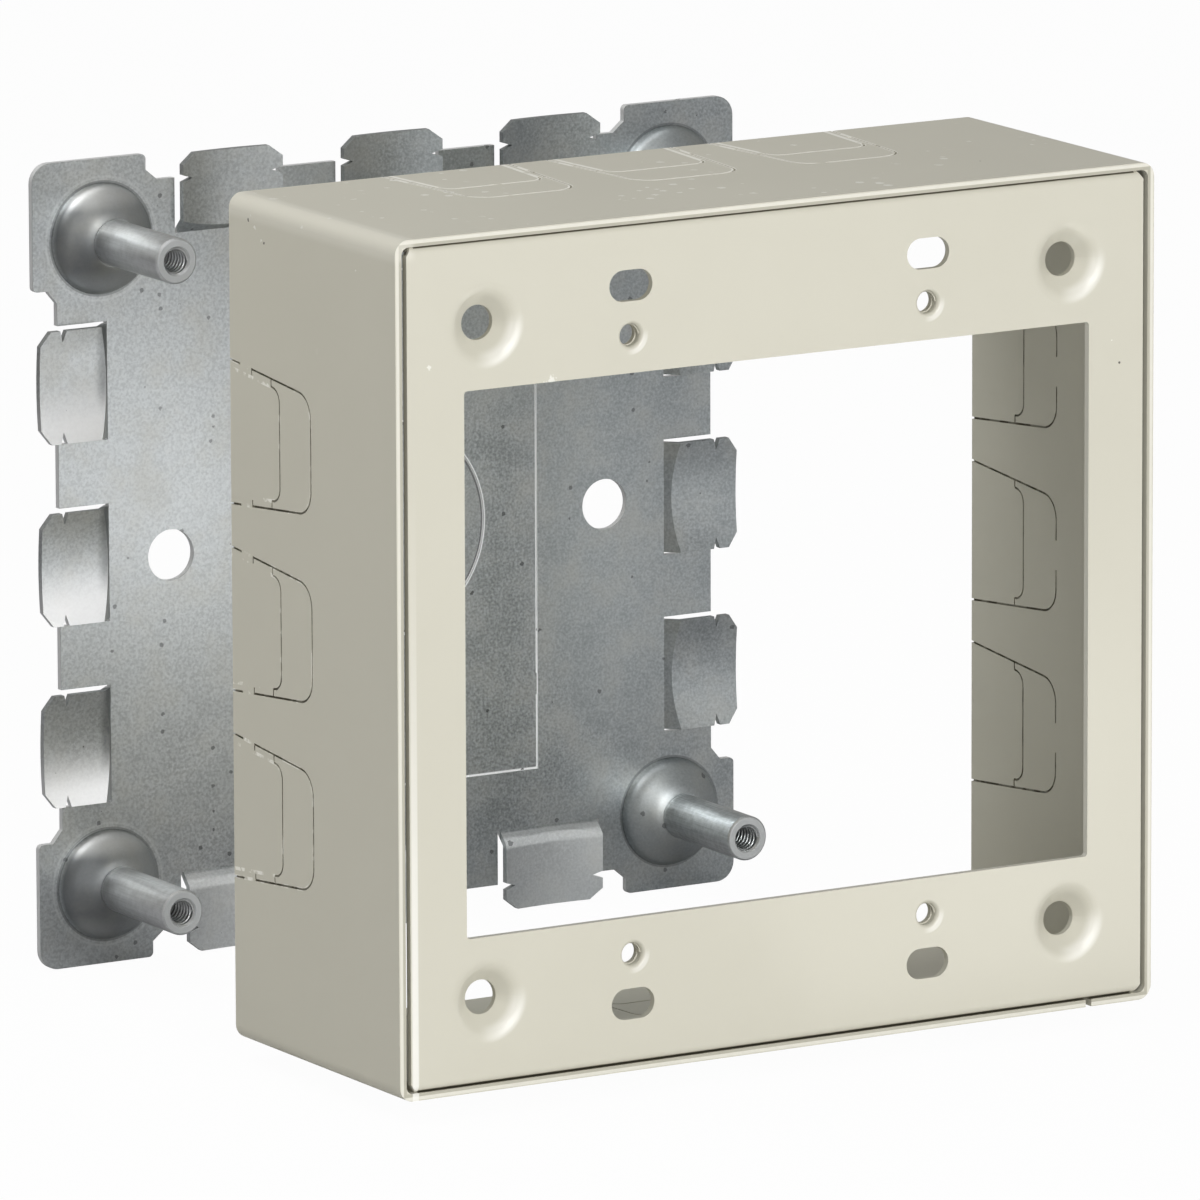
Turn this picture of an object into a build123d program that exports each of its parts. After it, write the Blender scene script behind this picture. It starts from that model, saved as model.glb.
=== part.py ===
from build123d import *
import os

# A two-gang surface raceway outlet box in millimetres: an enamelled sheet-metal cover, shown
# taken off its galvanised base plate. X runs to the right, Y into the wall and Z up.
# The origin is the middle of the base plate's wall face, on the wall.

# The box when it is closed
BOX_WIDTH = 117.5
BOX_HEIGHT = 115.0
BOX_DEPTH = 44.0
COVER_SHEET = 1.0
BASE_SHEET = 1.0

# Where the cover is shown: this far off its seat on the wall, and this far above it
COVER_OFF = 61.0
COVER_UP = 4.0

# Side band of the cover: one strip bent at four corners, with its butt seam underneath
BAND_BEND = 2.0
SEAM_GAP = 0.9
SEAM_FROM_SIDE = 10.0

# Front plate of the cover: set inside the band, with a flange at the top and bottom edge
PLATE_SIDE_GAP = 0.72
PLATE_BEND = 1.15
FLANGE_DEPTH = 9.5
FLANGE_END_GAP = 1.6
CORNER_NIP = 1.2
WINDOW_WIDTH = 96.9
WINDOW_HEIGHT = 73.3
WINDOW_CORNER = 0.5

# Openings in the front plate for two wiring devices side by side
GANG_PITCH = 46.04
DEVICE_HOLE_HEIGHT = 83.34
DEVICE_HOLE_RADIUS = 1.5
DEVICE_COLLAR_WALL = 1.0
DEVICE_COLLAR_LENGTH = 1.3
DEVICE_ENTRY_ROUND = 0.6
SLOT_HEIGHT_PITCH = 96.7
SLOT_LENGTH = 6.6
SLOT_WIDTH = 4.2

# Cover screws: sunk seats in the front plate, over the posts of the base plate
SCREW_INSET = 12.3
SEAT_HOLE_RADIUS = 2.35
SEAT_LIP_RADIUS = 4.9
SEAT_DEPTH = 2.2
SEAT_LIP_ROUND = 2.4
SEAT_RIM_MARGIN = 0.7
SEAT_HOLE_WALL = 0.8
SEAT_BACK_STEP = 0.6

# Knockouts: three in each side wall, each with a short one inside a long one
KNOCKOUT_COUNT = 3
KNOCKOUT_PITCH = 25.4
KNOCKOUT_MOUTH = 19.8
KNOCKOUT_NOSE = 16.0
KNOCKOUT_LONG = 21.6
KNOCKOUT_SHORT = 13.3
KNOCKOUT_LONG_CORNER = 3.5
KNOCKOUT_SHORT_CORNER = 2.1
KNOCKOUT_SHOULDER = 11.1
KNOCKOUT_SHOULDER_STEP = 1.1
KNOCKOUT_CUT = 0.3
KNOCKOUT_CUT_DEPTH = 0.35
SIDE_TIE = 2.9
SIDE_TIE_FROM_BACK = 2.7
SIDE_TIE_TICK = 1.0
NOSE_TIE = 4.1

# Base plate: an almost square plate that fits inside the band's top and bottom walls, whose
# corner blocks reach past its edges
BASE_CLEARANCE = 0.2
BASE_NARROWER = 0.45
BASE_EDGE_STEP = 3.7
BLOCK_LENGTH = 17.7
BLOCK_CORNER = 2.8
BLOCK_INNER_CORNER = 0.7
BLOCK_NOTCH_RUN = 1.8
BLOCK_NOTCH_DROP = 1.5
WALL_HOLE_PITCH = 69.5
WALL_HOLE_RADIUS = 3.6
ROUND_KNOCKOUT_RADIUS = 15.2
ROUND_CUT = 0.5
LARGE_KNOCKOUT_WIDTH = 47.5
LARGE_KNOCKOUT_HEIGHT = 73.2
BASE_CUT = 0.3
BASE_CUT_DEPTH = 0.3
BASE_TIE = 3.0
BASE_TIE_HEIGHT = 24.4

# Tabs of the base plate: three on each edge, opposite the knockouts, bowed across their width
TAB_WIDTH = 15.7
TAB_ROOT_STEP = 11.4
TAB_TIP_STEP = 0.25
TAB_SLIT = 0.4
TAB_RISE = 1.75
TAB_RISE_MIDDLE = 0.9
TAB_TIP_RISE_MIDDLE = 1.1
TAB_RISE_RUN = 1.8
TAB_RISE_RUN_MIDDLE = 0.7
TAB_CORNER_RUN = 1.5
TAB_CORNER_WIDTH = 2.0
TAB_BEND_SHIFT = 0.2
TAB_NOTCH_DEPTH = 1.6
TAB_NOTCH_WIDTH = 1.0

# Domes and posts, one at each corner of the base plate
DOME_RADIUS = 7.75
DOME_HEIGHT = 4.0
DOME_TOP_RADIUS = 3.4
DOME_SHOULDER_RADIUS = 5.7
DOME_SHOULDER_DROP = 1.4
DOME_STEP = 0.5
DOME_STEP_RUN = 0.2
DOME_HOLLOW_RADIUS = 6.75
DOME_FOOT_LEAN = 0.25
DOME_TOP_FALL = 0.3
POST_RADIUS = 3.175
POST_LENGTH = 17.3
POST_NECK_RADIUS = 2.3
POST_HEAD_RADIUS = 2.9
POST_HEAD_THICKNESS = 0.7
POST_BORE_RADIUS = 1.73
POST_BORE_DEPTH = 14.0
POST_EDGE = 0.3
BORE_CHAMFER = 0.35

# How far cuts run past a surface, and how far a pressed ring reaches into its sheet
PAST = 1.0
RING_MARGIN = 0.3

half_width = BOX_WIDTH / 2
half_height = BOX_HEIGHT / 2
base_reach_up = half_height - COVER_SHEET - BASE_CLEARANCE
base_reach_across = base_reach_up - BASE_NARROWER
screw_reach = half_height - SCREW_INSET
seat_slope = (SEAT_LIP_RADIUS - SEAT_HOLE_RADIUS) / SEAT_DEPTH
seat_back_height = SEAT_DEPTH + SEAT_HOLE_WALL - COVER_SHEET
seat_back_rim = SEAT_HOLE_RADIUS + SEAT_BACK_STEP + seat_back_height * seat_slope
cover_place = Location((0, -COVER_OFF, COVER_UP))
post_places = {
    "top_left": (-screw_reach, screw_reach),
    "top_right": (screw_reach, screw_reach),
    "bottom_left": (-screw_reach, -screw_reach),
    "bottom_right": (screw_reach, -screw_reach),
}


def facing_front(y):
    """A sketch plane at depth y that faces the room: its x is to the right, its y is up."""
    return Plane(origin=(0, y, 0), x_dir=(1, 0, 0), z_dir=(0, -1, 0))


def turned(profile):
    """Revolve a profile whose x is the radius and whose y is the height towards the room."""
    return Rot(X=180) * revolve(profile, Axis.Y)


def at_points(shape, points, y):
    """Copies of a shape at several places across the front, at depth y."""
    return [Pos(x, y, z) * shape for x, z in points]


def wall_plane(normal, reach, back):
    """A sketch plane on one side wall: y runs from the back edge towards the room."""
    outward = Vector(*normal)
    towards_room = Vector(0, -1, 0)
    return Plane(
        origin=outward * reach + Vector(0, back, 0),
        x_dir=towards_room.cross(outward),
        z_dir=outward,
    )


def half_mouth(height):
    """Half of a knockout's width at this height above the back edge: its sides taper."""
    taper = (KNOCKOUT_MOUTH - KNOCKOUT_NOSE) / 2 / KNOCKOUT_LONG
    return KNOCKOUT_MOUTH / 2 - taper * height


def knockout_outline(bottom, top, step, corner):
    """Part of a knockout seen square on: tapered sides and a rounded nose, narrowed by a step."""
    foot = half_mouth(bottom) - step
    nose = half_mouth(top) - step
    outline = Polygon((-foot, bottom), (foot, bottom), (nose, top), (-nose, top), align=None)
    if corner:
        outline = fillet(outline.vertices().sort_by(Axis.Y)[-2:], corner)
    return outline


def sheared_line(outline, width):
    """The thin line that a punch leaves just inside an outline."""
    return outline - offset(outline, -width)


def knockout_lines(outer_face):
    """The lines of one knockout on the outer or on the inner face of the wall."""
    long_outline = knockout_outline(-PAST, KNOCKOUT_LONG, 0, KNOCKOUT_LONG_CORNER)
    shoulders = knockout_outline(-PAST, KNOCKOUT_SHOULDER, 0, 0)
    nose = knockout_outline(
        -PAST, KNOCKOUT_SHORT, KNOCKOUT_SHOULDER_STEP, KNOCKOUT_SHORT_CORNER
    )
    lines = sheared_line(long_outline, KNOCKOUT_CUT) + sheared_line(shoulders + nose, KNOCKOUT_CUT)
    if not outer_face:
        tie = Rectangle(NOSE_TIE, KNOCKOUT_CUT + PAST, align=(Align.CENTER, Align.MIN))
        return lines - Pos(0, KNOCKOUT_LONG - KNOCKOUT_CUT) * tie
    tie = Rectangle(KNOCKOUT_MOUTH + PAST, SIDE_TIE, align=(Align.CENTER, Align.MIN))
    lines -= Pos(0, SIDE_TIE_FROM_BACK) * tie
    tick_height = SIDE_TIE_FROM_BACK + SIDE_TIE
    tick_end = half_mouth(tick_height)
    tick = Pos(tick_end, tick_height) * Rectangle(
        SIDE_TIE_TICK, KNOCKOUT_CUT, align=(Align.MAX, Align.MIN)
    )
    return lines + tick + mirror(tick, Plane.YZ)


def knockout_row(outer_face):
    """The lines of all the knockouts of one side wall."""
    row = Sketch()
    for column in range(KNOCKOUT_COUNT):
        across = (column - (KNOCKOUT_COUNT - 1) / 2) * KNOCKOUT_PITCH
        row += Pos(across, 0) * knockout_lines(outer_face)
    return row


def make_side_band():
    """The four side walls: one strip, bent round and left open at its butt seam."""
    outside = RectangleRounded(BOX_WIDTH, BOX_HEIGHT, BAND_BEND)
    inside = RectangleRounded(
        BOX_WIDTH - 2 * COVER_SHEET, BOX_HEIGHT - 2 * COVER_SHEET, BAND_BEND - COVER_SHEET
    )
    band = extrude(facing_front(0) * (outside - inside), amount=BOX_DEPTH)
    seam = Box(SEAM_GAP, BOX_DEPTH + 2 * PAST, COVER_SHEET + 2 * PAST)
    seam_x = half_width - SEAM_FROM_SIDE
    band -= Pos(seam_x, -BOX_DEPTH / 2, -half_height + COVER_SHEET / 2) * seam
    outer_row = knockout_row(True)
    inner_row = knockout_row(False)
    walls = [
        ((-1, 0, 0), half_width),
        ((1, 0, 0), half_width),
        ((0, 0, 1), half_height),
        ((0, 0, -1), half_height),
    ]
    cuts = []
    for normal, reach in walls:
        outer_plane = wall_plane(normal, reach, 0)
        inner_plane = wall_plane(normal, reach - COVER_SHEET, 0)
        cuts.append(extrude(outer_plane * outer_row, amount=-KNOCKOUT_CUT_DEPTH))
        cuts.append(extrude(inner_plane * inner_row, amount=KNOCKOUT_CUT_DEPTH))
    return band - cuts


def make_front_plate():
    """The front of the cover: a flanged plate with its window, seats, holes and slots."""
    web_half = half_width - COVER_SHEET - PLATE_SIDE_GAP
    flange_reach = half_height - COVER_SHEET
    channel_outside = Rectangle(FLANGE_DEPTH, 2 * flange_reach, align=(Align.MIN, Align.CENTER))
    channel_inside = Pos(COVER_SHEET, 0) * Rectangle(
        FLANGE_DEPTH, 2 * (flange_reach - COVER_SHEET), align=(Align.MIN, Align.CENTER)
    )
    channel_outside = fillet(channel_outside.vertices().sort_by(Axis.X)[:2], PLATE_BEND)
    channel_inside = fillet(
        channel_inside.vertices().sort_by(Axis.X)[:2], PLATE_BEND - COVER_SHEET
    )
    side_view = Plane(origin=(-web_half, -BOX_DEPTH, 0), x_dir=(0, 1, 0), z_dir=(1, 0, 0))
    plate = extrude(side_view * (channel_outside - channel_inside), amount=2 * web_half)

    flange_half = half_width - COVER_SHEET - FLANGE_END_GAP
    bend_start = flange_reach - PLATE_BEND
    nip = Polygon(
        (flange_half, flange_reach + PAST),
        (flange_half, flange_reach),
        (web_half, flange_reach - CORNER_NIP),
        (web_half + PAST, flange_reach - CORNER_NIP),
        (web_half + PAST, flange_reach + PAST),
        align=None,
    )
    flange_end = Pos(flange_half, bend_start) * Rectangle(
        FLANGE_END_GAP + PAST, PLATE_BEND + PAST, align=(Align.MIN, Align.MIN)
    )
    nips = nip + mirror(nip, Plane.YZ)
    nips += mirror(nips, Plane.XZ)
    flange_ends = flange_end + mirror(flange_end, Plane.YZ)
    flange_ends += mirror(flange_ends, Plane.XZ)
    plate -= extrude(facing_front(-BOX_DEPTH + COVER_SHEET) * nips, amount=COVER_SHEET)
    plate -= extrude(
        facing_front(-BOX_DEPTH + FLANGE_DEPTH) * flange_ends, amount=FLANGE_DEPTH - COVER_SHEET
    )

    device_points = [
        (x * GANG_PITCH / 2, z * DEVICE_HOLE_HEIGHT / 2) for x in (-1, 1) for z in (-1, 1)
    ]
    slot_points = [
        (x * GANG_PITCH / 2, z * SLOT_HEIGHT_PITCH / 2) for x in (-1, 1) for z in (-1, 1)
    ]
    seat_points = list(post_places.values())
    openings = RectangleRounded(WINDOW_WIDTH, WINDOW_HEIGHT, WINDOW_CORNER)
    for x, z in slot_points:
        openings += Pos(x, z) * SlotOverall(SLOT_LENGTH, SLOT_WIDTH)
    for x, z in seat_points:
        openings += Pos(x, z) * Circle(seat_back_rim + SEAT_RIM_MARGIN)
    plate -= extrude(facing_front(-BOX_DEPTH + COVER_SHEET) * openings, amount=COVER_SHEET)

    plate += at_points(turned(seat_section()), seat_points, -BOX_DEPTH)
    plate += at_points(turned(collar_section()), device_points, -BOX_DEPTH)
    plate -= at_points(turned(device_hole_section()), device_points, -BOX_DEPTH)
    return plate


def seat_section():
    """Half section of a sunk screw seat: the sheet dips as a cone to the screw hole."""
    outer_radius = seat_back_rim + SEAT_RIM_MARGIN
    hole_end = -SEAT_DEPTH - SEAT_HOLE_WALL
    outline = Polyline(
        (outer_radius, 0),
        (SEAT_LIP_RADIUS, 0),
        (SEAT_HOLE_RADIUS, -SEAT_DEPTH),
        (SEAT_HOLE_RADIUS, hole_end),
        (SEAT_HOLE_RADIUS + SEAT_BACK_STEP, hole_end),
        (seat_back_rim, -COVER_SHEET),
        (outer_radius, -COVER_SHEET),
        close=True,
    )
    face = make_face(outline)
    lip = face.vertices().sort_by_distance((SEAT_LIP_RADIUS, 0, 0))[0]
    return fillet(lip, SEAT_LIP_ROUND)


def collar_section():
    """Half section of the collar drawn back round a device screw hole."""
    outer = DEVICE_HOLE_RADIUS + DEVICE_COLLAR_WALL
    return Pos(0, -COVER_SHEET - DEVICE_COLLAR_LENGTH) * Rectangle(
        outer, COVER_SHEET / 2 + DEVICE_COLLAR_LENGTH, align=(Align.MIN, Align.MIN)
    )


def device_hole_section():
    """Half section of what is cut for a device screw: the bore and its rounded entry."""
    depth = COVER_SHEET + DEVICE_COLLAR_LENGTH + PAST
    entry = DEVICE_HOLE_RADIUS + DEVICE_ENTRY_ROUND
    outline = [
        Line((0, 0), (entry, 0)),
        RadiusArc((entry, 0), (DEVICE_HOLE_RADIUS, -DEVICE_ENTRY_ROUND), -DEVICE_ENTRY_ROUND),
        Line((DEVICE_HOLE_RADIUS, -DEVICE_ENTRY_ROUND), (DEVICE_HOLE_RADIUS, -depth)),
        Line((DEVICE_HOLE_RADIUS, -depth), (0, -depth)),
        Line((0, -depth), (0, 0)),
    ]
    return make_face(outline)


def base_outline():
    """The flat outline of the base plate before its tabs are lanced."""
    across, up = base_reach_across, base_reach_up
    side_edge, top_edge = across - BASE_EDGE_STEP, up - BASE_EDGE_STEP
    inner_across, inner_up = across - BLOCK_LENGTH, up - BLOCK_LENGTH
    quarter = Polygon(
        (0, 0),
        (side_edge, 0),
        (side_edge, inner_up - BLOCK_NOTCH_RUN),
        (side_edge + BLOCK_NOTCH_DROP, inner_up),
        (across, inner_up),
        (across, up),
        (inner_across, up),
        (inner_across, top_edge + BLOCK_NOTCH_DROP),
        (inner_across - BLOCK_NOTCH_RUN, top_edge),
        (0, top_edge),
        align=None,
    )
    outer_corner = quarter.vertices().sort_by_distance((across, up, 0))[0]
    quarter = fillet(outer_corner, BLOCK_CORNER)
    for corner in ((across, inner_up), (inner_across, up)):
        vertex = quarter.vertices().sort_by_distance((*corner, 0))[0]
        quarter = fillet(vertex, BLOCK_INNER_CORNER)
    half_plate = quarter + mirror(quarter, Plane.YZ)
    return half_plate + mirror(half_plate, Plane.XZ)


def dome_section():
    """Half section of a dome: pressed out of the sheet, and hollow from the wall side."""
    rim = DOME_RADIUS
    ring = DOME_RADIUS + RING_MARGIN
    crown = Spline(
        (rim - DOME_STEP_RUN, DOME_STEP),
        (DOME_SHOULDER_RADIUS, DOME_HEIGHT - DOME_SHOULDER_DROP),
        (DOME_TOP_RADIUS, DOME_HEIGHT),
        tangents=((-DOME_FOOT_LEAN, 1), (-1, DOME_TOP_FALL)),
    )
    hollow = Spline(
        (DOME_TOP_RADIUS, DOME_HEIGHT - BASE_SHEET),
        (DOME_HOLLOW_RADIUS, -BASE_SHEET),
        tangents=((1, -DOME_TOP_FALL), (DOME_FOOT_LEAN, -1)),
    )
    outline = [
        Line((ring, 0), (rim, 0)),
        Line((rim, 0), (rim - DOME_STEP_RUN, DOME_STEP)),
        crown,
        Line((DOME_TOP_RADIUS, DOME_HEIGHT), (POST_NECK_RADIUS, DOME_HEIGHT)),
        Line((POST_NECK_RADIUS, DOME_HEIGHT), (POST_NECK_RADIUS, DOME_HEIGHT - BASE_SHEET)),
        Line(
            (POST_NECK_RADIUS, DOME_HEIGHT - BASE_SHEET),
            (DOME_TOP_RADIUS, DOME_HEIGHT - BASE_SHEET),
        ),
        hollow,
        Line((DOME_HOLLOW_RADIUS, -BASE_SHEET), (ring, -BASE_SHEET)),
        Line((ring, -BASE_SHEET), (ring, 0)),
    ]
    return make_face(outline)


def tab_profile(reach, rise, tip_rise, run):
    """Side view of a tab: out of the plate, up over the raceway's edge and on to its tip."""
    root = reach - TAB_ROOT_STEP
    tip = reach - TAB_TIP_STEP
    return Polyline(
        (root - PAST, 0),
        (root, 0),
        (root + run, rise),
        (tip, tip_rise),
        (tip, tip_rise - BASE_SHEET),
        (root + run + TAB_BEND_SHIFT, rise - BASE_SHEET),
        (root + TAB_BEND_SHIFT, -BASE_SHEET),
        (root - PAST, -BASE_SHEET),
        close=True,
    )


def make_tab(reach):
    """One tab for an edge that reaches so far to the right, with trimmed corners and notches."""
    half = TAB_WIDTH / 2
    sections = []
    for across, rise, tip_rise, run in (
        (-half, TAB_RISE, TAB_RISE, TAB_RISE_RUN),
        (0, TAB_RISE_MIDDLE, TAB_TIP_RISE_MIDDLE, TAB_RISE_RUN_MIDDLE),
        (half, TAB_RISE, TAB_RISE, TAB_RISE_RUN),
    ):
        plane = Plane(origin=(0, -BASE_SHEET, across), x_dir=(1, 0, 0), z_dir=(0, 0, 1))
        outline = mirror(make_face(tab_profile(reach, rise, tip_rise, run)), Plane.XZ)
        sections.append(plane * outline)
    tab = loft(sections)
    tip = reach - TAB_TIP_STEP
    edge = reach - BASE_EDGE_STEP
    corner = Polygon(
        (tip - TAB_CORNER_RUN, half + PAST),
        (tip - TAB_CORNER_RUN, half),
        (tip, half - TAB_CORNER_WIDTH),
        (tip + PAST, half - TAB_CORNER_WIDTH),
        (tip + PAST, half + PAST),
        align=None,
    )
    notch = Polygon(
        (edge - TAB_NOTCH_WIDTH / 2, half + PAST),
        (edge - TAB_NOTCH_WIDTH / 2, half),
        (edge, half - TAB_NOTCH_DEPTH),
        (edge + TAB_NOTCH_WIDTH / 2, half),
        (edge + TAB_NOTCH_WIDTH / 2, half + PAST),
        align=None,
    )
    trim = corner + notch
    trim += mirror(trim, Plane.XZ)
    depth = BASE_SHEET + TAB_RISE + 2 * PAST
    return tab - extrude(facing_front(PAST) * trim, amount=depth)


def tab_slits(reach):
    """What is cleared beside and beyond one tab of an edge that reaches so far."""
    root = reach - TAB_ROOT_STEP
    width = TAB_WIDTH + 2 * TAB_SLIT
    return Pos(root, 0) * Rectangle(TAB_ROOT_STEP + PAST, width, align=(Align.MIN, Align.CENTER))


def base_lines():
    """The lines of the round and of the large knockout on the front of the base plate."""
    round_line = sheared_line(Circle(ROUND_KNOCKOUT_RADIUS), ROUND_CUT)
    large = Rectangle(LARGE_KNOCKOUT_WIDTH, LARGE_KNOCKOUT_HEIGHT)
    large_line = sheared_line(large, BASE_CUT)
    tie = Rectangle(LARGE_KNOCKOUT_WIDTH + PAST, BASE_TIE)
    large_line -= Pos(0, -BASE_TIE_HEIGHT) * tie
    large_line -= Pos(0, BASE_TIE_HEIGHT) * tie
    round_line -= Rectangle(BASE_TIE, 2 * ROUND_KNOCKOUT_RADIUS + PAST)
    return round_line + large_line


def make_base_plate():
    """The wall plate: corner blocks, domes, lanced tabs, screw holes and knockouts."""
    outline = base_outline()
    for sign in (-1, 1):
        outline -= Pos(sign * WALL_HOLE_PITCH / 2, 0) * Circle(WALL_HOLE_RADIUS)
    tab_turns = []
    for quarter in range(4):
        reach = base_reach_across if quarter % 2 == 0 else base_reach_up
        for column in range(KNOCKOUT_COUNT):
            along = (column - (KNOCKOUT_COUNT - 1) / 2) * KNOCKOUT_PITCH
            tab_turns.append((90 * quarter, along, reach))
            outline -= Rot(Z=90 * quarter) * Pos(0, along) * tab_slits(reach)
    for x, z in post_places.values():
        outline -= Pos(x, z) * Circle(DOME_RADIUS + RING_MARGIN)
    plate = extrude(facing_front(0) * outline, amount=BASE_SHEET)
    lines = base_lines()
    plate -= extrude(facing_front(-BASE_SHEET) * lines, amount=-BASE_CUT_DEPTH)
    plate -= extrude(facing_front(0) * lines, amount=BASE_CUT_DEPTH)
    plate += at_points(turned(dome_section()), post_places.values(), -BASE_SHEET)
    tabs = {reach: make_tab(reach) for reach in (base_reach_across, base_reach_up)}
    plate += [Rot(Y=-turn) * Pos(0, 0, along) * tabs[reach] for turn, along, reach in tab_turns]
    return plate


def make_post():
    """One turned post: tapped from its outer end, with a neck staked behind the dome."""
    top = DOME_HEIGHT + POST_LENGTH
    neck_end = DOME_HEIGHT - BASE_SHEET
    head_end = neck_end - POST_HEAD_THICKNESS
    bore_end = top - POST_BORE_DEPTH
    outline = Polyline(
        (0, bore_end - POST_BORE_RADIUS),
        (POST_BORE_RADIUS, bore_end),
        (POST_BORE_RADIUS, top - BORE_CHAMFER),
        (POST_BORE_RADIUS + BORE_CHAMFER, top),
        (POST_RADIUS - POST_EDGE, top),
        (POST_RADIUS, top - POST_EDGE),
        (POST_RADIUS, DOME_HEIGHT),
        (POST_NECK_RADIUS, DOME_HEIGHT),
        (POST_NECK_RADIUS, neck_end),
        (POST_HEAD_RADIUS, neck_end),
        (POST_HEAD_RADIUS - POST_EDGE, head_end),
        (0, head_end),
        close=True,
    )
    return turned(make_face(outline))


os.makedirs("parts", exist_ok=True)
export_step(cover_place * make_side_band(), "parts/side_band.step")
export_step(cover_place * make_front_plate(), "parts/front_plate.step")
export_step(make_base_plate(), "parts/base_plate.step")
post = make_post()
for name, (x, z) in post_places.items():
    export_step(Pos(x, -BASE_SHEET, z) * post, f"parts/post_{name}.step")
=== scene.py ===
# %% [markdown]
# # A surface raceway outlet box, opened up
#
# The real object is a small box of folded sheet steel that carries two wiring devices on a
# wall. Its cover is baked beige enamel, its wall plate is bare galvanised steel, and four
# zinc-plated posts stand on the wall plate for the cover's screws. The cover is shown taken
# off and held in front of the plate.
#
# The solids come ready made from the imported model. This lesson gives them their finishes,
# cuts the screw threads, and sets up the floor, the lamps and the camera. All lengths are in
# metres, with X to the right, Y into the wall and Z up.

# %% Load the model
import math
from types import SimpleNamespace

import bpy
from mathutils import Matrix, Vector


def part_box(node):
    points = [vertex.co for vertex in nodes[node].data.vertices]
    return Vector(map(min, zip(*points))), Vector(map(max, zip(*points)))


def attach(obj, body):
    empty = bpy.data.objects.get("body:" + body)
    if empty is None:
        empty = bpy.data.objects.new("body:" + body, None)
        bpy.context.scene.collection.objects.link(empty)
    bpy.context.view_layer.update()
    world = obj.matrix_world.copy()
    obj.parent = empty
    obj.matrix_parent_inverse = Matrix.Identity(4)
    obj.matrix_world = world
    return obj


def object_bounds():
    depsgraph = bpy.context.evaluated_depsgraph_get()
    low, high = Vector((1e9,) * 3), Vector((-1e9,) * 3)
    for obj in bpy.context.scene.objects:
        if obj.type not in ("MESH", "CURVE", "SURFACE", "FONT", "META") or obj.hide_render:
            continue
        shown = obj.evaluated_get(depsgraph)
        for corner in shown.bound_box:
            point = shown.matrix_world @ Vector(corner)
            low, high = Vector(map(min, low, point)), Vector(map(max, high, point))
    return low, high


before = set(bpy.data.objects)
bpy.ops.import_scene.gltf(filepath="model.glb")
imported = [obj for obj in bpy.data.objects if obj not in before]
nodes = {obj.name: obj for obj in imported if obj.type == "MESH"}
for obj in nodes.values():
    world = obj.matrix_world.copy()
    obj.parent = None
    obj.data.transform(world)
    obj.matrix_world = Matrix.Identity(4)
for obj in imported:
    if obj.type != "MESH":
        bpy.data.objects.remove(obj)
cad_low, cad_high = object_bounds()
MM = 0.001
print("pieces:", ", ".join(sorted(nodes)))
print("model box:", [round(v, 4) for v in cad_low], [round(v, 4) for v in cad_high])

# %% [markdown]
# ## The camera
#
# The photograph was taken from the left and a little above, from about two metres away with a
# long lens. The place and the three turns below were fitted to the holes and edges of the
# cover. Blender's camera looks along its own -Z with +Y up, so the matrix's columns are the
# picture's right, the picture's up and the way back.

# %% Camera
CAMERA_PLACE = Vector((-967.271, -1683.478, 380.34)) * MM
CAMERA_YAW = math.radians(30.757)
CAMERA_PITCH = math.radians(-11.377)
CAMERA_ROLL = math.radians(-0.199)
FOCAL_PIXELS = 14231.42
PICTURE_PIXELS = 1200
SENSOR = 36.0


def photograph_camera():
    """The camera at the photograph's place, with its focal length."""
    look = Vector(
        (
            math.sin(CAMERA_YAW) * math.cos(CAMERA_PITCH),
            math.cos(CAMERA_YAW) * math.cos(CAMERA_PITCH),
            math.sin(CAMERA_PITCH),
        )
    )
    level = Vector((math.cos(CAMERA_YAW), -math.sin(CAMERA_YAW), 0))
    above = level.cross(look)
    right = math.cos(CAMERA_ROLL) * level + math.sin(CAMERA_ROLL) * above
    up = -math.sin(CAMERA_ROLL) * level + math.cos(CAMERA_ROLL) * above
    turn = Matrix((right, up, -look)).transposed().to_4x4()
    data = bpy.data.cameras.new("photograph_camera")
    data.sensor_width = SENSOR
    data.lens = FOCAL_PIXELS * SENSOR / PICTURE_PIXELS
    data.clip_start = 0.05
    data.clip_end = 50.0
    camera = bpy.data.objects.new("photograph_camera", data)
    camera.matrix_world = Matrix.Translation(CAMERA_PLACE) @ turn
    bpy.context.scene.collection.objects.link(camera)
    return camera


camera = photograph_camera()
bpy.context.scene.camera = camera
bpy.context.scene.view_settings.view_transform = "Standard"
print("lens:", round(camera.data.lens, 2), "mm")

# %% [markdown]
# ## Small helpers for node trees
#
# Every finish below is a tree of shader nodes. These helpers keep the cells short: they add
# nodes, join them, do sums with masks, lay a tint over a colour, and start a shader node group
# with named inputs and outputs. A mask is 1 where a mark shows and 0 elsewhere.

# %% Node helpers
def add(tree, kind, values=None, **settings):
    """A new node with its settings, and with values put on its input sockets by name."""
    node = tree.nodes.new(kind)
    for key, value in settings.items():
        setattr(node, key, value)
    for key, value in (values or {}).items():
        node.inputs[key].default_value = value
    return node


def join(tree, source, target):
    """A link from an output socket to an input socket."""
    tree.links.new(source, target)


def math_node(tree, operation, first, second=None, third=None):
    """A Math node fed by sockets or plain numbers; returns its output."""
    node = add(tree, "ShaderNodeMath", operation=operation)
    for index, value in enumerate((first, second, third)):
        if value is None:
            continue
        if isinstance(value, (int, float)):
            node.inputs[index].default_value = value
        else:
            join(tree, value, node.inputs[index])
    return node.outputs[0]


def ramp(tree, value, low, high):
    """A value turned into 0 at low and 1 at high, with a smooth run between."""
    node = add(tree, "ShaderNodeMapRange", interpolation_type="SMOOTHSTEP")
    node.inputs["From Min"].default_value = low
    node.inputs["From Max"].default_value = high
    join(tree, value, node.inputs["Value"])
    return node.outputs["Result"]


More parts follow.
